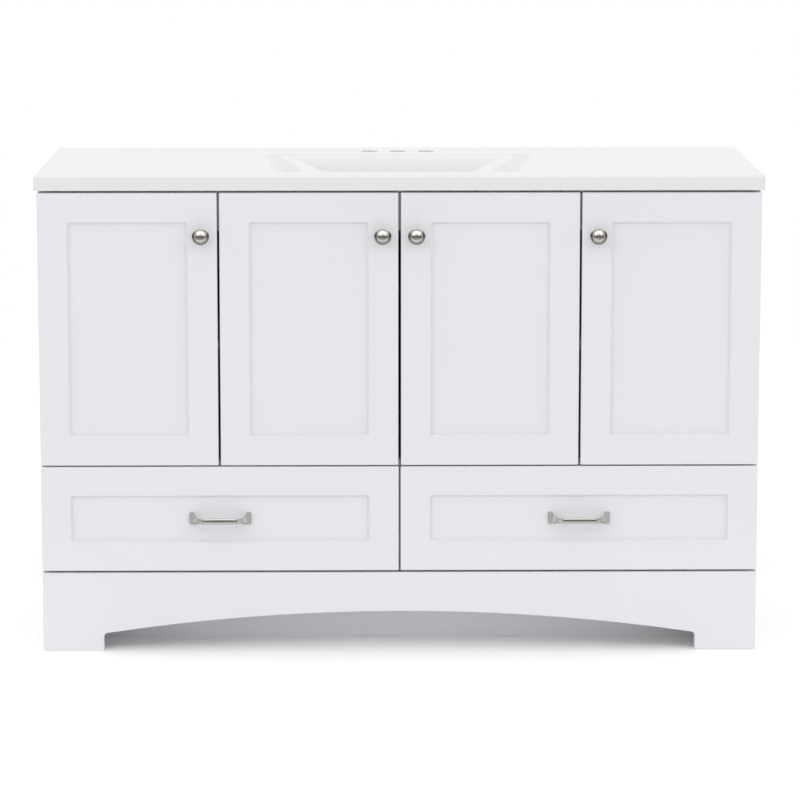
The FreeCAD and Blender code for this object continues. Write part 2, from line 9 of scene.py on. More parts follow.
# %% Load the measured model
import bpy
import bmesh
import math
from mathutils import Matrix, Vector


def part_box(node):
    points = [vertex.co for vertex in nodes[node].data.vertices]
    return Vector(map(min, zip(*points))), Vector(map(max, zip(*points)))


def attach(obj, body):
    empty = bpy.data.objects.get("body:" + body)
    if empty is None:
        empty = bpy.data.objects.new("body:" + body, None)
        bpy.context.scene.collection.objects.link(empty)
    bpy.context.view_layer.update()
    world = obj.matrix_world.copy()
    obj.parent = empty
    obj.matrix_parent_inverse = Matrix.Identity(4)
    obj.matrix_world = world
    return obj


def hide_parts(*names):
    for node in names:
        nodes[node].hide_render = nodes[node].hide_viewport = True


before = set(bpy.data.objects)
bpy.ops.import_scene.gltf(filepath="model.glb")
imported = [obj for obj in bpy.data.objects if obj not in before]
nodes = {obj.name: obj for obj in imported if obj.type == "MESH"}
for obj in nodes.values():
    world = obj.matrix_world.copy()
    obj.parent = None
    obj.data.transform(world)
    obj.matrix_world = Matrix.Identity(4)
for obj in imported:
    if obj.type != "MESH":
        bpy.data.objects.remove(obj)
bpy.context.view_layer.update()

MM = 0.001

# %% [markdown]
# ## A small workbench for finishes
#
# A finish is a material made of nodes. Written out link by link, such a tree is hard to read, so two small
# classes do the wiring. `Value` wraps one socket, and lets a finish be written as sums: `1 - mask` adds a
# Math node by itself. `Finish` adds any other node with one method. Colours are mixed with Mix nodes, because
# a Math node would turn them grey.

# %% The value class
class Value:
    """One socket of a finish, which plain arithmetic turns into Math nodes."""

    def __init__(self, finish, socket):
        self.finish = finish
        self.socket = socket

    def maths(self, operation, first, second=0.0):
        return self.finish.node("ShaderNodeMath", {"operation": operation}, {0: first, 1: second})

    def __add__(self, other):
        return self.maths("ADD", self, other)

    def __sub__(self, other):
        return self.maths("SUBTRACT", self, other)

    def __rsub__(self, other):
        return self.maths("SUBTRACT", other, self)

    def __mul__(self, other):
        return self.maths("MULTIPLY", self, other)

    __radd__ = __add__
    __rmul__ = __mul__

    def size(self):
        return self.maths("ABSOLUTE", self)

    def sine(self):
        return self.maths("SINE", self)

    def ramp(self, low, high):
        """0 below low, 1 above high, and smooth between."""
        sockets = {"Value": self, "From Min": low, "From Max": high}
        return self.finish.node("ShaderNodeMapRange", {"interpolation_type": "SMOOTHSTEP"}, sockets)


# %% The finish class
class Finish:
    """A material: even properties sit on its shader's own sockets, and its pattern is made of nodes."""

    def __init__(self, name, **even):
        self.material = bpy.data.materials.new(name)
        self.material.use_nodes = True
        self.tree = self.material.node_tree
        self.shader = self.tree.nodes["Principled BSDF"]
        for title, value in even.items():
            self.shader.inputs[title.replace("_", " ")].default_value = value

    def node(self, kind, settings, sockets, output=0):
        made = self.tree.nodes.new(kind)
        for title, value in settings.items():
            setattr(made, title, value)
        for key, value in sockets.items():
            if isinstance(value, Value):
                self.tree.links.new(value.socket, made.inputs[key])
            else:
                made.inputs[key].default_value = value
        return Value(self, made.outputs[output])

    def place(self, stretch=(1, 1, 1)):
        """Where a point is on the object, in metres, with each axis stretched."""
        here = self.node("ShaderNodeTexCoord", {}, {}, "Object")
        return self.node("ShaderNodeVectorMath", {"operation": "MULTIPLY"}, {0: here, 1: stretch})

    def axis(self, name):
        """One coordinate of a point, in metres."""
        return self.node("ShaderNodeSeparateXYZ", {}, {0: self.place()}, name)

    def noise(self, scale, stretch=(1, 1, 1), detail=2.0, distortion=0.0):
        sockets = {"Vector": self.place(stretch), "Scale": scale, "Detail": detail, "Distortion": distortion}
        return self.node("ShaderNodeTexNoise", {}, sockets, 0)

    def mix(self, share, first, second):
        """One colour where share is 0, another where it is 1."""
        return self.node("ShaderNodeMix", {"data_type": "RGBA"}, {0: share, 6: first, 7: second}, 2)

    def bump(self, height, distance, strength=1.0):
        return self.node("ShaderNodeBump", {}, {"Height": height, "Distance": distance, "Strength": strength})

    def wear(self, **pattern):
        """Link a pattern to the shader."""
        for title, value in pattern.items():
            self.tree.links.new(value.socket, self.shader.inputs[title.replace("_", " ")])
        return self.material


print("workbench ready")

# %% [markdown]
# ## White lacquer
#
# The doors, the drawer fronts, the sides and the base are fibreboard under a sprayed satin lacquer. Sprayed
# paint is never quite flat: it dries to a fine dimpled skin, a millimetre or so across, and the coat is a
# touch thicker in some places, which moves its gloss. The colour is a cool white, with a drift too slight to
# see as a pattern.

# %% The lacquer
def white_lacquer():
    paint = Finish("white_lacquer", Coat_Weight=0.12, Coat_Roughness=0.22, IOR=1.48)
    drift = paint.noise(3.5, detail=3.0)
    dimples = paint.noise(620.0, detail=2.0)
    sprayed = paint.noise(45.0, detail=3.0)
    colour = paint.mix(drift, (0.69, 0.69, 0.72, 1), (0.718, 0.718, 0.748, 1))
    rough = 0.34 + 0.08 * sprayed + 0.04 * dimples
    skin = paint.bump(dimples + 0.6 * sprayed, 0.06 * MM)
    return paint.wear(Base_Color=colour, Roughness=rough, Normal=skin)


lacquer = white_lacquer()
print(lacquer.name, "made")

# %% [markdown]
# ## The moulded stone of the top
#
# The top and its basin are cast in one piece from ground stone and resin, then coated with a clear gloss gel.
# Under the gloss lies a soft cloud of warmer and cooler white with a few hair-thin specks. The gel is very
# smooth, so its bump is long and faint, like still water, and the gloss does the work. The inside of the bowl
# is made a little whiter than the slab. That is a choice of look, in place of light that a real room throws
# into a bowl, and not a property of the stone.

# %% The stone
TOP_LOW, TOP_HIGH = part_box("countertop_basin")
WHITER_BEHIND = TOP_LOW.y + 58 * MM  # keeps the slab's front edge out
WHITER_FROM = TOP_HIGH.z - 1.2 * MM
WHITEST_FROM = TOP_HIGH.z - 3.5 * MM


def moulded_stone():
    stone = Finish("moulded_stone", Coat_Weight=0.2, Coat_Roughness=0.05, IOR=1.47)
    clouds = stone.noise(4.0, detail=5.0, distortion=1.4)
    specks = stone.noise(900.0, detail=1.0).ramp(0.72, 0.8)
    base = stone.mix(clouds, (0.688, 0.687, 0.706, 1), (0.724, 0.722, 0.74, 1))
    colour = stone.mix(0.12 * specks, base, (0.6, 0.6, 0.62, 1))
    sunk = 1 - stone.axis("Z").ramp(WHITEST_FROM, WHITER_FROM)
    behind_edge = stone.axis("Y").ramp(WHITER_BEHIND, WHITER_BEHIND + 4 * MM)
    colour = stone.mix(sunk * behind_edge, colour, (0.755, 0.753, 0.77, 1))
    rough = 0.16 + 0.07 * stone.noise(60.0, detail=3.0)
    waves = stone.bump(stone.noise(14.0, detail=1.0), 0.3 * MM, 0.5)
    return stone.wear(Base_Color=colour, Roughness=rough, Normal=waves)


stone_top = moulded_stone()
print(stone_top.name, "made")

# %% [markdown]
# ## Satin nickel and zinc
#
# Knobs and pulls are cast, brushed and plated with nickel, which is a warm grey. The brush leaves very fine
# lines that run along the piece. Hinges and slides are stamped steel with a bright zinc plate, bluer and
# blotchy, because zinc grows in small crystals.

# %% The metals
def satin_nickel():
    nickel = Finish("satin_nickel", Metallic=1.0, Anisotropic=0.25)
    brushed = nickel.noise(2600.0, stretch=(0.12, 1, 1), detail=2.0)
    plating = nickel.noise(180.0, detail=3.0)
    colour = nickel.mix(plating, (0.45, 0.43, 0.407, 1), (0.55, 0.53, 0.506, 1))
    rough = 0.11 + 0.06 * brushed + 0.05 * plating
    lines = nickel.bump(brushed, 0.02 * MM)
    return nickel.wear(Base_Color=colour, Roughness=rough, Normal=lines)


def zinc_plate():
    zinc = Finish("zinc_plate", Metallic=1.0)
    crystals = zinc.noise(420.0, detail=4.0, distortion=0.6)
    rolled = zinc.noise(1500.0, stretch=(1, 0.05, 1), detail=2.0)
    colour = zinc.mix(crystals, (0.52, 0.54, 0.57, 1), (0.7, 0.71, 0.72, 1))
    rough = 0.24 + 0.14 * crystals + 0.05 * rolled
    grain = zinc.bump(crystals + rolled, 0.03 * MM)
    return zinc.wear(Base_Color=colour, Roughness=rough, Normal=grain)


nickel = satin_nickel()
zinc = zinc_plate()
print(nickel.name, "and", zinc.name, "made")

# %% [markdown]
# ## Boards: melamine, plywood and hardboard
#
# Inside, the boards are faced with white melamine, whose paper is pressed with a fine pebble. The drawer
# boxes are birch plywood: long soft grain on the faces, and on the cut top edges the layers show as stripes.
# The thin backs are hardboard, brown and flecked with short fibres.

# %% The boards
PLY_PAIR = 2.8 * MM  # one light and one dark layer


def melamine():
    board = Finish("white_melamine", IOR=1.46)
    pebble = board.noise(1100.0, detail=3.0)
    faded = board.noise(5.0, detail=2.0)
    colour = board.mix(faded, (0.7, 0.69, 0.69, 1), (0.76, 0.755, 0.75, 1))
    rough = 0.42 + 0.12 * pebble
    return board.wear(Base_Color=colour, Roughness=rough, Normal=board.bump(pebble, 0.05 * MM))


def birch_plywood():
    ply = Finish("birch_plywood", Coat_Weight=0.15, Coat_Roughness=0.3)
    grain = ply.noise(90.0, stretch=(0.5, 0.05, 1.0), detail=6.0, distortion=1.2)
    pores = ply.noise(1400.0, stretch=(1.0, 0.04, 1.0), detail=2.0).ramp(0.6, 0.75)
    layers = (ply.axis("X") * (2 * math.pi / PLY_PAIR)).sine() * 0.5 + 0.5
    up = ply.node("ShaderNodeNewGeometry", {}, {}, "Normal")
    edge = ply.node("ShaderNodeSeparateXYZ", {}, {0: up}, "Z").size().ramp(0.8, 0.95)
    wood = ply.mix(grain, (0.66, 0.5, 0.32, 1), (0.8, 0.66, 0.47, 1))
    striped = ply.mix(layers * edge * 0.35, wood, (0.42, 0.29, 0.17, 1))
    colour = ply.mix(pores * 0.3, striped, (0.4, 0.28, 0.17, 1))
    rough = 0.45 + 0.15 * grain
    return ply.wear(Base_Color=colour, Roughness=rough, Normal=ply.bump(grain - 0.4 * pores, 0.12 * MM))


def hardboard():
    board = Finish("hardboard")
    fibres = board.noise(700.0, stretch=(1, 1, 0.35), detail=5.0, distortion=2.0)
    patches = board.noise(12.0, detail=3.0)
    colour = board.mix(fibres, (0.2, 0.12, 0.065, 1), (0.42, 0.28, 0.165, 1))
    colour = board.mix(0.3 * patches, colour, (0.3, 0.2, 0.12, 1))
    return board.wear(Base_Color=colour, Roughness=0.6 + 0.2 * fibres, Normal=board.bump(fibres, 0.1 * MM))


def soft_rubber():
    rubber = Finish("bumper_rubber", IOR=1.5)
    skin = rubber.noise(2200.0, detail=2.0)
    colour = rubber.mix(skin, (0.62, 0.62, 0.63, 1), (0.74, 0.74, 0.75, 1))
    return rubber.wear(Base_Color=colour, Roughness=0.5 + 0.2 * skin, Normal=rubber.bump(skin, 0.04 * MM))


white_board = melamine()
ply_board = birch_plywood()
back_board = hardboard()
rubber = soft_rubber()
print("four board and rubber finishes made")

# %% [markdown]
# ## Finishing the boards that keep their meshes
#
# These boards already have their true size and eased edges, so each only takes its finish. The choice goes by
# name: what faces the room is lacquered, what is inside is melamine, and so on.

# %% Dress the measured boards
def dress(name, finish):
    """Give one measured piece its finish."""
    slots = nodes[name].data.materials
    slots.clear()
    slots.append(finish)
    for face in nodes[name].data.polygons:
        face.material_index = 0


lacquered = ["side_panel_left", "side_panel_right", "base_board", "toe_kick_board"]
faced = ["partition_left", "partition_right", "middle_deck", "bottom_panel", "drawer_divider",
         "front_top_rail", "rear_top_rail", "shelf_left", "shelf_right", "base_glue_blocks",
         "corner_brackets"]
backs = ["back_panel_" + bay for bay in ("left", "right", "middle", "drawers")]
steel = ["hinge_arms", "hinge_plates", "slide_outer_rails", "shelf_pins"]
steel += ["door_%d_hinge_cups" % k for k in (1, 2, 3, 4)]
steel += ["drawer_%d_slide_%s" % (k, part) for k in (1, 2) for part in ("middle", "inner")]
plywood = ["drawer_%d_box_%s" % (k, part) for k in (1, 2) for part in ("sides", "ends", "bottom")]

for names, finish in ((lacquered, lacquer), (faced, white_board), (backs, back_board), (steel, zinc),
                      (plywood, ply_board), (["door_bumpers"], rubber)):
    for name in names:
        dress(name, finish)
print(len(lacquered + faced + backs + steel + plywood) + 1, "measured pieces dressed")

# %% [markdown]
# ## How a new piece joins the vanity
#
# Every new piece is built in place, in the vanity's own coordinates, so it only has to be told three things:
# the group it moves with, the measured piece it stands for, and its finish. Smooth shading is kept off the
# crisp edges by an angle, and a weighted normal keeps wide flats looking flat beside small rounded edges.

# %% Piece helper
def add_piece(name, mesh_maker, body, finish, stands_for=(), crease=35):
    """Turn a bmesh into a finished piece that rides on a body."""
    mesh = bpy.data.meshes.new(name)
    bmesh.ops.recalc_face_normals(mesh_maker, faces=mesh_maker.faces)
    mesh_maker.to_mesh(mesh)
    mesh_maker.free()
    mesh.shade_smooth()
    mesh.set_sharp_from_angle(angle=math.radians(crease))
    piece = bpy.data.objects.new(name, mesh)
    bpy.context.scene.collection.objects.link(piece)
    mesh.materials.append(finish)
    flats = piece.modifiers.new("even flats", "WEIGHTED_NORMAL")
    flats.keep_sharp = True
    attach(piece, body)
    if stands_for:
        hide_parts(*stands_for)
    return piece


def bridge(maker, first, second):
    """Faces between two closed rings of the same number of points."""
    count = len(first)
    for i in range(count):
        j = (i + 1) % count
        maker.faces.new((first[i], first[j], second[j], second[i]))


def arc(start, end, steps):
    """Angles from start to end in degrees, as radians."""
    return [math.radians(start + (end - start) * i / steps) for i in range(steps + 1)]


# %% Rounded rectangle
def rounded_rectangle(half_wide, half_high, radius, corner_steps=5, side_steps=1):
    """Points round a rectangle with round corners, about its middle, always in the same order."""
    radius = max(radius, 1e-5)
    across, along = half_wide - radius, half_high - radius
    corners = ((across, along, 0), (-across, along, 90), (-across, -along, 180), (across, -along, 270))
    points = []
    for k, (x, y, turn) in enumerate(corners):
        for a in arc(turn, turn + 90, corner_steps):
            points.append((x + radius * math.cos(a), y + radius * math.sin(a)))
        nx, ny, nturn = corners[(k + 1) % 4]
        a = math.radians(nturn)
        goal = (nx + radius * math.cos(a), ny + radius * math.sin(a))
        last = points[-1]
        for step in range(1, side_steps):
            share = step / side_steps
            points.append((last[0] + (goal[0] - last[0]) * share, last[1] + (goal[1] - last[1]) * share))
    return points


print("helpers ready")

# %% [markdown]
# ## Framed doors and drawer fronts
#
# Each front is a frame of two stiles and two rails round a flat panel. The stiles run the full height, the
# rails fit between them, and a hairline shows where they meet. One ring with the frame's whole section is
# bridged from rounded rectangles first: a rounded outer edge, a flat face, and a slope down to the panel.
# Then the ring is cut beside the stiles, and every cut end gets a tiny chamfer. Two chamfers make the
# hairline. The measured doors have even gaps. The shown ones are a little longer above and below and a little
# narrower where they meet, so that the dark lines round them have the right widths, and the middle gap is the
# widest.

# %% Sizes of the fronts
door_low, door_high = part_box("door_1_frame")
panel_low, panel_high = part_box("door_1_panel")
FACE_Y = door_low.y
BACK_Y = door_high.y
TONGUE = 7.5 * MM
FRAME_WIDTH = panel_low.x - door_low.x + TONGUE
RECESS = 6.0 * MM
SLOPE = 3.2 * MM
OUTER_ROUND = 2.4 * MM
HAIRLINE = 0.35 * MM


# %% Ring of a front
def front_section():
    """Pairs of inset from the outer edge and Y, once round the section of a stile."""
    r = OUTER_ROUND
    pairs = [(FRAME_WIDTH, BACK_Y), (1.0 * MM, BACK_Y), (0.3 * MM, BACK_Y - 0.3 * MM),
             (0.0, BACK_Y - 1.0 * MM)]
    pairs += [(r - r * math.cos(a), FACE_Y + r - r * math.sin(a)) for a in arc(0, 90, 5)]
    inner = FRAME_WIDTH - SLOPE
    ease = 0.9 * MM
    pairs += [(inner - ease, FACE_Y), (inner - 0.35 * ease, FACE_Y + 0.12 * ease),
              (inner, FACE_Y + 0.5 * ease)]
    pairs += [(FRAME_WIDTH - 0.3 * MM, FACE_Y + RECESS - 0.9 * MM), (FRAME_WIDTH, FACE_Y + RECESS)]
    return pairs


def front_ring(low, high):
    """The whole frame of one front as one closed ring."""
    maker = bmesh.new()
    middle_x, middle_z = (low.x + high.x) / 2, (low.z + high.z) / 2
    rings = []
    for inset, y in front_section():
        wide, high_half = (high.x - low.x) / 2 - inset, (high.z - low.z) / 2 - inset
        outer = inset < FRAME_WIDTH / 2
        radius = max(2.0 * MM - inset, 0.2 * MM) if outer else 2.6 * MM + 0.4 * (FRAME_WIDTH - inset)
        points = rounded_rectangle(wide, high_half, radius)
        rings.append([maker.verts.new((middle_x + x, y, middle_z + z)) for x, z in points])
    for first, second in zip(rings, rings[1:] + rings[:1]):
        bridge(maker, first, second)
    return maker


# %% Cut a member out of the ring
def close_cut(maker, inward):
    """Chamfer and cap the open ends that a cut has left."""
    rim = [e for e in maker.edges if e.is_boundary]
    made = bmesh.ops.extrude_edge_only(maker, edges=rim)["geom"]
    tips = {v for v in made if isinstance(v, bmesh.types.BMVert)}
    loops = [e for e in made if isinstance(e, bmesh.types.BMEdge) and e.is_boundary]
    for group in (lambda z: z > 0, lambda z: z <= 0):
        part = [v for v in tips if group(v.co.z - cut_middle(tips))]
        if not part:
            continue
        centre = sum((v.co for v in part), Vector()) / len(part)
        for v in part:
            away = centre - v.co
            away.x = 0
            v.co += away.normalized() * HAIRLINE if away.length > 0 else Vector()
            v.co.x += inward * HAIRLINE * 0.6
    bmesh.ops.edgeloop_fill(maker, edges=loops)


def cut_middle(points):
    """The height half way between the lowest and the highest of some points."""
    heights = [v.co.z for v in points]
    if max(heights) - min(heights) < 2 * FRAME_WIDTH:
        return min(heights) - 1.0
    return (max(heights) + min(heights)) / 2


def keep_side(maker, x, keep_right):
    """Throw away what lies on one side of a plane of constant X, and close the ends."""
    geometry = maker.verts[:] + maker.edges[:] + maker.faces[:]
    normal = (-1, 0, 0) if keep_right else (1, 0, 0)
    bmesh.ops.bisect_plane(maker, geom=geometry, plane_co=(x, 0, 0), plane_no=normal, clear_outer=True)
    close_cut(maker, -1 if keep_right else 1)


def front_member(low, high, which):
    """The left stile, the right stile, or both rails of one front."""
    maker = front_ring(low, high)
    hair = 0.02 * MM
    left, right = low.x + FRAME_WIDTH + hair, high.x - FRAME_WIDTH - hair
    if which == "left":
        keep_side(maker, left, False)
    elif which == "right":
        keep_side(maker, right, True)
    else:
        keep_side(maker, left, True)
        keep_side(maker, right, False)
    return maker


# %% Put the frames together
def join_makers(makers):
    """Several bmeshes as one."""
    whole = bmesh.new()
    for maker in makers:
        mesh = bpy.data.meshes.new("part")
        maker.to_mesh(mesh)
        maker.free()
        whole.from_mesh(mesh)
        bpy.data.meshes.remove(mesh)
    return whole


def make_front(title, node, body, left=0.0, right=0.0, bottom=0.0, top=0.0):
    """The stiles and rails of one front, grown past each edge of the measured frame by some millimetres."""
    low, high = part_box(node)
    low = low - Vector((left, 0, bottom)) * MM
    high = high + Vector((right, 0, top)) * MM
    members = [front_member(low, high, which) for which in ("left", "right", "rails")]
    return add_piece(title, join_makers(members), body, lacquer, (node,), crease=28)


def make_panel(title, node, body):
    """A panel whose face is very slightly bowed in, as a thin panel in a frame is."""
    low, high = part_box(node)
    maker = bmesh.new()
    middle_x, middle_z = (low.x + high.x) / 2, (low.z + high.z) / 2
    rings = []
    steps = ((0.0, high.y), (0.0, low.y), (TONGUE, low.y), (TONGUE + 12 * MM, low.y + 0.12 * MM),
             (TONGUE + 30 * MM, low.y + 0.22 * MM))
    for inset, y in steps:
        points = rounded_rectangle((high.x - low.x) / 2 - inset, (high.z - low.z) / 2 - inset, 1.5 * MM)
        rings.append([maker.verts.new((middle_x + x, y, middle_z + z)) for x, z in points])
    for first, second in zip(rings, rings[1:]):
        bridge(maker, first, second)
    maker.faces.new(rings[0])
    maker.faces.new(rings[-1])
    return add_piece(title, maker, body, lacquer, (node,), crease=28)


# How far a door goes past its measured frame, in millimetres: left and right, then below and above
SIDE_GROWTH = {1: (0.0, -0.4), 2: (-0.4, -0.7), 3: (-0.7, -0.3), 4: (-0.3, 0.0)}
LOWER_GROWTH, UPPER_GROWTH = 0.8, 2.8
for k in (1, 2, 3, 4):
    make_front("door_%d_stiles_and_rails" % k, "door_%d_frame" % k, "door_%d" % k,
               *SIDE_GROWTH[k], LOWER_GROWTH, UPPER_GROWTH)
    make_panel("door_%d_flat_panel" % k, "door_%d_panel" % k, "door_%d" % k)
for k in (1, 2):
    make_front("drawer_%d_stiles_and_rails" % k, "drawer_%d_front_frame" % k, "drawer_%d" % k)
    make_panel("drawer_%d_flat_panel" % k, "drawer_%d_front_panel" % k, "drawer_%d" % k)
print("six fronts made, with frames", round(FRAME_WIDTH / MM, 1), "mm wide")

# %% [markdown]
# ## Knobs
#
# A knob is a turned piece, so its half section is drawn once and spun round. It has a small foot on the door,
# a waist, a thin flange as wide as a thumb, and a raised dome inside a shallow groove. The screw behind has a
# pan head against the back of the door, with a small round recess in its middle.

# %% Turned pieces
def lathe(maker, section, centre, forward=-1, steps=72):
    """Spin (distance along the axis, radius) pairs about a line along Y through the centre."""
    rings = []
    for along, radius in section:
        ring = []
        for i in range(steps):
            a = 2 * math.pi * i / steps
            x, z = max(radius, 1e-6) * math.cos(a), max(radius, 1e-6) * math.sin(a)
            ring.append(maker.verts.new((centre.x + x, centre.y + forward * along, centre.z + z)))
        rings.append(ring)
    for first, second in zip(rings, rings[1:]):
        bridge(maker, first, second)
    maker.faces.new(rings[0])
    maker.faces.new(rings[-1])


def knob_section(reach):
    """The half section of a knob, from the door to the tip of its dome."""
    flange = 14.7 * MM
    section = [(0.0, 7.6 * MM), (0.5 * MM, 8.0 * MM), (1.6 * MM, 8.0 * MM), (2.2 * MM, 7.6 * MM)]
    section += [(2.2 * MM + 11.0 * MM * s, (7.4 - 2.0 * math.sin(math.pi * s) + 0.4 * s) * MM)
                for s in (0.1, 0.25, 0.4, 0.55, 0.7, 0.85)]
    section += [(14.0 * MM, 8.8 * MM), (15.4 * MM, 11.5 * MM), (16.4 * MM, 13.9 * MM)]
    section += [(17.3 * MM - 0.9 * MM * math.cos(a), flange - 0.9 * MM + 0.9 * MM * math.sin(a))
                for a in arc(20, 160, 7)]
    section += [(18.45 * MM, 12.6 * MM), (18.55 * MM, 11.9 * MM), (18.0 * MM, 11.4 * MM),
                (18.2 * MM, 11.0 * MM)]
    dome = reach - 18.2 * MM
    section += [(18.2 * MM + dome * math.sin(a), 11.0 * MM * math.cos(a) ** 0.85) for a in arc(8, 86, 12)]
    return section + [(reach, 0.0)]


def screw_head(maker, centre):
    """A pan head against the back of the board, with a small round recess."""
    section = [(0.0, 4.0 * MM), (0.6 * MM, 4.0 * MM), (1.1 * MM, 3.7 * MM), (1.45 * MM, 3.0 * MM),
               (1.6 * MM, 1.6 * MM), (1.1 * MM, 1.2 * MM), (0.9 * MM, 0.0)]
    lathe(maker, section, centre, forward=1, steps=24)


def make_knob(k):
    """One knob with its screw, on its door."""
    node = "door_%d_knob" % k
    low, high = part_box(node)
    middle = Vector(((low.x + high.x) / 2, FACE_Y, (low.z + high.z) / 2))
    maker = bmesh.new()
    lathe(maker, knob_section(FACE_Y - low.y), middle)
    screw_head(maker, Vector((middle.x, BACK_Y, middle.z)))
    return add_piece("door_%d_mushroom_knob" % k, maker, "door_%d" % k, nickel, (node,),
                     crease=40)


for k in (1, 2, 3, 4):
    make_knob(k)
print("four knobs turned")

# %% [markdown]
# ## Bow pulls
#
# A pull is cast in one piece. Each foot is a tall, narrow pad on the drawer front. It leans forward and in,
# thins as it bends, ends at a small ring, and a straight grip joins the two rings. A row of sections is laid
# along half of the path, each with its own height and thickness, and mirrored for the other half.

# %% The path of a pull
PULL_POINTS = 28
PULL_SCREW_X = 48.0 * MM
BOX_END = 12.0 * MM  # the thickness of a drawer box's front end


def pull_sections(reach):
    """(distance from the middle, distance from the panel, lean, thickness, height), foot to middle."""
    foot = 48.4 * MM
    rows = [(foot, 0.0, 0, 9.0, 21.0), (foot, 1.4 * MM, 0, 9.0, 21.0),
            (foot - 0.2 * MM, 2.4 * MM, 4, 7.8, 20.2)]
    rows += [(foot - 1.2 * MM, 8.5 * MM, 14, 6.6, 18.8), (foot - 3.4 * MM, 14.5 * MM, 28, 5.8, 16.0),
             (foot - 7.2 * MM, 20.0 * MM, 45, 5.6, 12.2), (foot - 12.0 * MM, 24.0 * MM, 62, 5.8, 9.4)]
    grip = reach - 4.6 * MM
    rows += [(foot - 16.0 * MM, grip - 0.4 * MM, 82, 6.4, 8.2)]
    ring = [(30.6, 7.2, 8.2), (30.2, 9.2, 10.2), (29.4, 10.4, 11.6), (28.6, 10.4, 11.6), (27.8, 9.2, 10.2),
            (27.4, 7.4, 8.4)]
    bar = [(24.0, 8.2, 9.6), (14.0, 8.6, 10.2), (0.0, 8.8, 10.4)]
    return rows + [(x * MM, grip, 90, thick, tall) for x, thick, tall in ring + bar]


def pull_ring(maker, row, side, centre):
    """One rounded section of a pull, square to its path."""
    out, forward, lean, thick, tall = row
    a = math.radians(lean)
    across = Vector((math.cos(a) * side, math.sin(a), 0))
    spot = Vector((centre.x + side * out, centre.y - forward, centre.z))
    squareness = 4.4 if lean > 60 else 5.0
    ring = []
    for i in range(PULL_POINTS):
        t = 2 * math.pi * i / PULL_POINTS
        c, s = math.cos(t), math.sin(t)
        u = math.copysign(abs(c) ** (2 / squareness), c) * thick * MM / 2
        v = math.copysign(abs(s) ** (2 / squareness), s) * tall * MM / 2
        ring.append(maker.verts.new(spot + across * u + Vector((0, 0, v))))
    return ring


def make_pull(k):
    """One pull with its two screws, on its drawer."""
    node = "drawer_%d_pull" % k
    low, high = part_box(node)
    panel_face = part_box("drawer_%d_front_panel" % k)[0].y
    middle = Vector(((low.x + high.x) / 2, panel_face, (low.z + high.z) / 2))
    rows = pull_sections(panel_face - low.y)
    maker = bmesh.new()
    left = [pull_ring(maker, row, -1, middle) for row in rows]
    right = [pull_ring(maker, row, 1, middle) for row in rows[:-1]]
    run = left + right[::-1]
    for first, second in zip(run, run[1:]):
        bridge(maker, first, second)
    maker.faces.new(run[0])
    maker.faces.new(run[-1])
    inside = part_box("drawer_%d_box_ends" % k)[0].y + BOX_END
    for side in (-1, 1):
        screw_head(maker, Vector((middle.x + side * PULL_SCREW_X, inside, middle.z)))
    return add_piece("drawer_%d_bow_pull" % k, maker, "drawer_%d" % k, nickel, (node,),
                     crease=40)


for k in (1, 2):
    make_pull(k)
print("two pulls cast")

# %% [markdown]
# ## The top and its basin
#
# The top is one casting, so it is one mesh here. Its flat faces are filled between outlines that all lie in
# one plane: the outer edge, the rim of the basin and the three faucet holes. The basin is a stack of rounded
# rectangles that come in as they go down, by a smooth curve, and turn into a circle at the drain. The outer
# skin of the bowl follows under it, so the top looks right from below with the doors open.

# %% Sizes of the top
top_low, top_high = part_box("countertop_basin")
SLAB = 25.0 * MM
SLAB_BOTTOM = top_high.z - SLAB
BOWL_X = 235.0 * MM
BOWL_FRONT = top_low.y + 61.0 * MM
BOWL_BACK = top_low.y + 349.0 * MM
BOWL_Y = (BOWL_FRONT + BOWL_BACK) / 2
BOWL_HALF = (BOWL_BACK - BOWL_FRONT) / 2
DRAIN = 22.5 * MM
HOLE = 15.0 * MM
HOLE_SPACING = 50.8 * MM
HOLE_Y = top_high.y - 67.0 * MM
WALL = 12.0 * MM
BASIN_DEPTH = 120.0 * MM
TOP_EDGE = 3.0 * MM
LOWER_EDGE = 1.5 * MM
SLAB_CORNER = 4.0 * MM
CORNER_STEPS, SIDE_STEPS = 10, 6


# %% Profile of the bowl
def smooth_rows(rows, between):
    """Rows of numbers with more rows between them, on a smooth curve through all."""
    made = []
    for i in range(len(rows) - 1):
        before, start = rows[max(i - 1, 0)], rows[i]
        end, after = rows[i + 1], rows[min(i + 2, len(rows) - 1)]
        for step in range(between):
            t = step / between
            made.append(tuple(
                0.5 * (2 * b + (c - a) * t + (2 * a - 5 * b + 4 * c - d) * t**2
                       + (3 * b - a - 3 * c + d) * t**3)
                for a, b, c, d in zip(before, start, end, after)))
    return made + [rows[-1]]


def bowl_rows():
    """(depth, how far in at the sides, how far in at the front and back, corner radius), in millimetres."""
    rows = [(0.0, -2.6, -2.6, 40.0), (1.0, 0.8, 0.6, 38.0), (5.0, 8.0, 3.2, 42.0), (20.0, 33.0, 9.0, 52.0),
            (30.0, 48.0, 12.0, 57.0), (54.0, 78.0, 22.0, 62.0), (80.0, 105.0, 36.0, 64.0),
            (102.0, 129.0, 50.0, 62.0), (113.0, 147.0, 70.0, 56.0), (117.0, 166.0, 90.0, 46.0)]
    return smooth_rows(rows, 4)


def level_ring(maker, half_x, half_y, radius, z, centre_y):
    points = rounded_rectangle(half_x, half_y, radius, CORNER_STEPS, SIDE_STEPS)
    return [maker.verts.new((x, centre_y + y, z)) for x, y in points]


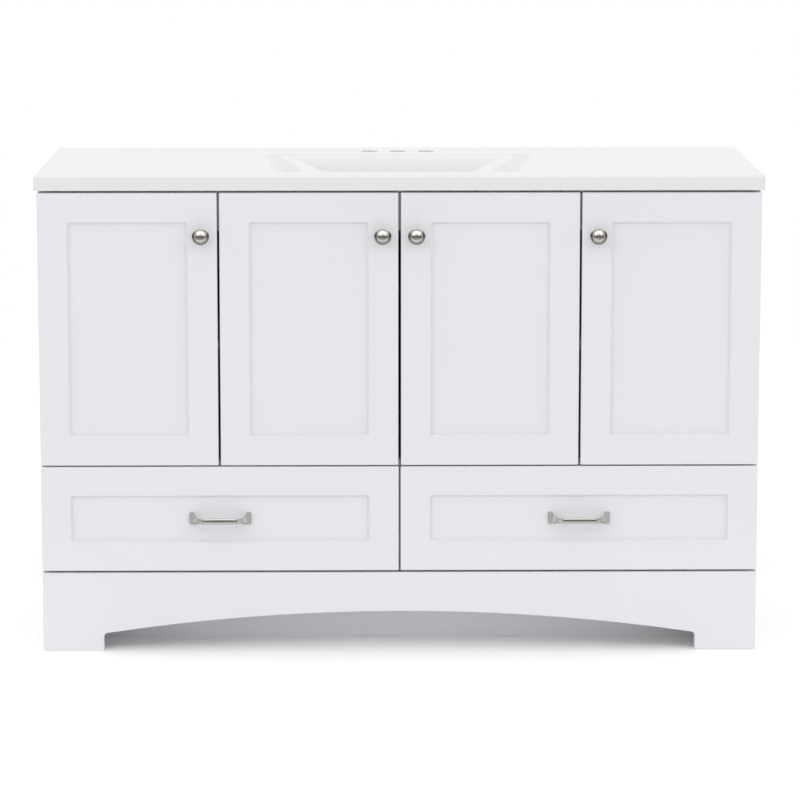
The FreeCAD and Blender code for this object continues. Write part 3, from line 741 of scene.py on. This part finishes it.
def round_ring(maker, like, radius, z, centre):
    """A circle whose points lie in the same directions as those of another ring."""
    spread = [(v.co.x - centre[0], v.co.y - centre[1]) for v in like]
    wide, deep = max(x for x, y in spread), max(y for x, y in spread)
    angles = [math.atan2(y / deep, x / wide) for x, y in spread]
    return [maker.verts.new((centre[0] + radius * math.cos(a), centre[1] + radius * math.sin(a), z))
            for a in angles]


def plain_circle(maker, radius, z, x, y, steps=40):
    return [maker.verts.new((x + radius * math.cos(a), y + radius * math.sin(a), z))
            for a in arc(0, 360, steps)[:-1]]


def ring_edges(maker, ring):
    """The edges round a closed ring, made where they are missing."""
    edges = []
    for first, second in zip(ring, ring[1:] + ring[:1]):
        edges.append(maker.edges.get((first, second)) or maker.edges.new((first, second)))
    return edges


# %% Build the top
def make_top():
    maker = bmesh.new()
    centre_y = (top_low.y + top_high.y) / 2
    half_x, half_y = top_high.x, (top_high.y - top_low.y) / 2
    profile = [(TOP_EDGE - TOP_EDGE * math.sin(a), top_high.z - TOP_EDGE + TOP_EDGE * math.cos(a))
               for a in arc(0, 90, 5)]
    profile += [(LOWER_EDGE - LOWER_EDGE * math.cos(a), SLAB_BOTTOM + LOWER_EDGE - LOWER_EDGE * math.sin(a))
                for a in arc(0, 90, 3)]
    rims = [level_ring(maker, half_x - inset, half_y - inset, SLAB_CORNER - inset * 0.9, z, centre_y)
            for inset, z in profile]
    for first, second in zip(rims, rims[1:]):
        bridge(maker, first, second)
    inside = [level_ring(maker, BOWL_X - side * MM, BOWL_HALF - end * MM, r * MM, top_high.z - down * MM,
                         BOWL_Y)
              for down, side, end, r in bowl_rows()]
    floor = top_high.z - BASIN_DEPTH
    for radius, z in ((36 * MM, floor + 1.4 * MM), (28 * MM, floor + 0.6 * MM), (25 * MM, floor - 0.6 * MM),
                      (23.4 * MM, floor - 2.2 * MM), (DRAIN, floor - 4.0 * MM), (DRAIN, top_low.z)):
        inside.append(round_ring(maker, inside[-1], radius, z, (0, BOWL_Y)))
    outside = []
    for down, side, end, r in bowl_rows():
        z = top_high.z - down * MM - WALL * min(1.0, down / 110.0)
        if z < SLAB_BOTTOM - 1 * MM:
            outside.append(level_ring(maker, BOWL_X - side * MM + WALL * 0.9,
                                      BOWL_HALF - end * MM + WALL * 0.9, (r + 10) * MM,
                                      max(z, top_low.z + 0.5 * MM), BOWL_Y))
    first_ring = outside[0]
    neck = [maker.verts.new((v.co.x * 1.03, BOWL_Y + (v.co.y - BOWL_Y) * 1.04, SLAB_BOTTOM))
            for v in first_ring]
    outside = [neck] + outside
    outside.append(round_ring(maker, outside[-1], DRAIN + 14 * MM, top_low.z, (0, BOWL_Y)))
    for rings in (inside, outside):
        for first, second in zip(rings, rings[1:]):
            bridge(maker, first, second)
    bridge(maker, inside[-1], outside[-1])
    tops, bottoms = [rims[0], inside[0]], [rims[-1], neck]
    for i in (-1, 0, 1):
        x = i * HOLE_SPACING
        rings = [plain_circle(maker, HOLE + out * MM, top_high.z - down * MM, x, HOLE_Y)
                 for out, down in ((1.2, 0.0), (0.4, 0.3), (0.0, 1.2))]
        rings.append(plain_circle(maker, HOLE, SLAB_BOTTOM, x, HOLE_Y))
        for first, second in zip(rings, rings[1:]):
            bridge(maker, first, second)
        tops.append(rings[0])
        bottoms.append(rings[-1])
    for level in (tops, bottoms):
        edges = [e for ring in level for e in ring_edges(maker, ring)]
        bmesh.ops.triangle_fill(maker, use_beauty=True, use_dissolve=False, edges=edges)
    return add_piece("one_piece_top", maker, "cabinet", stone_top, ("countertop_basin",),
                     crease=50)


make_top()
print("top", round((top_high.x - top_low.x) / MM), "by", round((top_high.y - top_low.y) / MM), "mm")

# %% [markdown]
# ## The room: floor, light and camera
#
# The vanity stands on a plain pale floor in soft, even light, as in a studio with white walls. Most light
# comes from all round. Two large panels high in front, left and right, draw the faint double shadow that each
# knob casts, and a long low one lifts the base. The world sends gloss a room that is dim in front and bright
# above, which gives the metal its dark band, and sends everything else an even white room. A real room would
# do both to everything, so this split is a studio trick, chosen for the look.

# %% Floor
FLOOR_RADIUS = 2.3
FLOOR_BACK = 1.1  # how far behind the vanity the disc is centred


def make_floor():
    pale = Finish("pale_floor", IOR=1.4, Emission_Strength=0.07)
    wash = pale.noise(0.8, detail=2.0)
    colour = pale.mix(wash, (0.95, 0.95, 0.95, 1), (0.97, 0.97, 0.97, 1))
    material = pale.wear(Base_Color=colour, Roughness=0.75 + 0.1 * wash)
    maker = bmesh.new()
    bmesh.ops.create_circle(maker, cap_ends=True, segments=128, radius=FLOOR_RADIUS)
    bmesh.ops.translate(maker, verts=maker.verts[:], vec=(0, FLOOR_BACK, 0))
    mesh = bpy.data.meshes.new("floor")
    maker.to_mesh(mesh)
    maker.free()
    mesh.materials.append(material)
    floor = bpy.data.objects.new("floor", mesh)
    bpy.context.scene.collection.objects.link(floor)


make_floor()


# %% Light
def soft_panel(name, place, aim, size, power):
    """A rectangle of light at a place, turned towards an aim, in metres and watts."""
    light = bpy.data.lights.new(name, "AREA")
    light.shape = "RECTANGLE"
    light.size, light.size_y = size
    light.energy = power
    lamp = bpy.data.objects.new(name, light)
    bpy.context.scene.collection.objects.link(lamp)
    lamp.location = place
    lamp.rotation_euler = (Vector(aim) - Vector(place)).to_track_quat("-Z", "Y").to_euler()
    lamp.visible_camera = False
    return lamp


class Studio(Finish):
    """The light all round, wired like a finish."""

    def __init__(self, world):
        world.use_nodes = True
        self.tree = world.node_tree
        self.shader = self.tree.nodes["Background"]
        self.shader.inputs["Color"].default_value = (1.0, 1.0, 1.0, 1)

    def towards(self, name):
        """One part of the direction that the light comes from."""
        around = self.node("ShaderNodeTexCoord", {}, {}, "Generated")
        return self.node("ShaderNodeSeparateXYZ", {}, {0: around}, name)


def make_studio():
    """White all round. Gloss alone also sees the dim front of the room, and its bright ceiling."""
    world = bpy.data.worlds.new("studio")
    studio = Studio(world)
    front = (0 - studio.towards("Y")).ramp(-0.7, 0.1)
    above_floor = studio.towards("Z").ramp(-0.22, -0.12)
    walls = studio.towards("Z").ramp(0.03, 0.2)
    ceiling = studio.towards("Z").ramp(0.5, 0.72)
    gloss = studio.node("ShaderNodeLightPath", {}, {}, "Is Glossy Ray")
    strength = 1 + gloss * front * (1.8 * ceiling + 0.9 * walls - 0.4 * above_floor - 0.5)
    studio.tree.links.new(strength.socket, studio.shader.inputs["Strength"])
    world.cycles.sampling_method = "NONE"
    bpy.context.scene.world = world


make_studio()
soft_panel("left_panel", (-2.6, -3.2, 2.9), (0, 0, 0.5), (1.5, 1.5), 20)
soft_panel("right_panel", (2.4, -3.0, 2.7), (0, 0, 0.5), (1.3, 1.3), 15)
low_panel = soft_panel("low_panel", (0.0, -3.6, 0.6), (0, 0, 0.15), (3.0, 0.5), 1.5)
low_panel.visible_glossy = False
bpy.context.scene.view_settings.view_transform = "Standard"
print("three panels and a bright room")


# %% Camera
def make_camera():
    """A long lens a little above the vanity, looking slightly down at it."""
    data = bpy.data.cameras.new("camera")
    data.lens = 149.6
    data.sensor_width = 36.0
    data.shift_y = -0.12
    data.clip_end = 100.0
    camera = bpy.data.objects.new("camera", data)
    bpy.context.scene.collection.objects.link(camera)
    camera.location = (-0.057, -5.7835, 1.432)
    down, turned = 8.491, -0.593  # degrees
    camera.rotation_euler = (math.radians(90.0 - down), 0.0, math.radians(turned))
    bpy.context.scene.camera = camera


make_camera()
print("camera placed")
